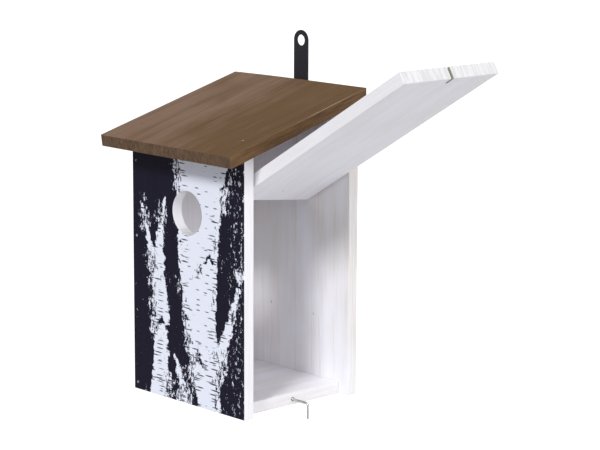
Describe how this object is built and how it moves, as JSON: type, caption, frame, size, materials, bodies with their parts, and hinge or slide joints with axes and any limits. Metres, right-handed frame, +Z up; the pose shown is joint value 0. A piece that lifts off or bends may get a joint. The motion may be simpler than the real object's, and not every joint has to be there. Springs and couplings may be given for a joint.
{
  "type": "birdhouse",
  "caption": "Wooden nest box with a round entrance, a sloping roof board, a side door that swings up on nail pivots, a hook latch and a hanging strap.",
  "frame": {"origin": "centre of the hanging strap's hole, in the plane of the strap's rear face, which lies against the wall or tree", "axes": "+Z up, -Y out through the front panel and its entrance, +Y towards the wall, +X to the side of the door"},
  "size_m": [0.2756, 0.133, 0.272],
  "materials": {
    "painted_pine": "thin white paint over pine, matt, with the grain showing",
    "printed_pine": "black and white birch bark print on a white painted board, satin",
    "stained_pine": "brown wood stain, matt, with streaky grain",
    "black_steel": "black powder coat, semi-matt",
    "zinc_steel": "bright zinc plate"
  },
  "bodies": {
    "box": {"front_panel": "printed_pine", "back_panel": "painted_pine", "left_side_panel": "painted_pine", "floor_board": "painted_pine", "roof_board": "stained_pine", "hanger_strap": "black_steel", "hanger_screw_upper": "zinc_steel", "hanger_screw_lower": "zinc_steel", "pivot_nail_front": "zinc_steel", "pivot_nail_back": "zinc_steel", "front_brad_1": "zinc_steel", "front_brad_2": "zinc_steel", "front_brad_3": "zinc_steel", "front_brad_4": "zinc_steel", "front_brad_5": "zinc_steel", "front_brad_6": "zinc_steel", "back_brad_1": "zinc_steel", "back_brad_2": "zinc_steel", "back_brad_3": "zinc_steel", "back_brad_4": "zinc_steel", "back_brad_5": "zinc_steel", "back_brad_6": "zinc_steel", "side_brad_1": "zinc_steel", "side_brad_2": "zinc_steel", "roof_brad_1": "zinc_steel", "roof_brad_2": "zinc_steel", "roof_brad_3": "zinc_steel", "roof_brad_4": "zinc_steel"},
    "door": {"side_door": "painted_pine"},
    "latch": {"latch_hook": "zinc_steel"}
  },
  "joints": [
    {"name": "door_hinge", "type": "hinge", "parent": "box", "child": "door", "pos_m": [0.057, -0.05625, -0.0882], "axis": [0, -1, 0], "range_deg": [-120.7, 16]},
    {"name": "hook_turn", "type": "hinge", "parent": "box", "child": "latch", "pos_m": [0.05225, -0.05625, -0.253], "axis": [1, 0, 0], "range_deg": [-90, 90]}
  ]
}
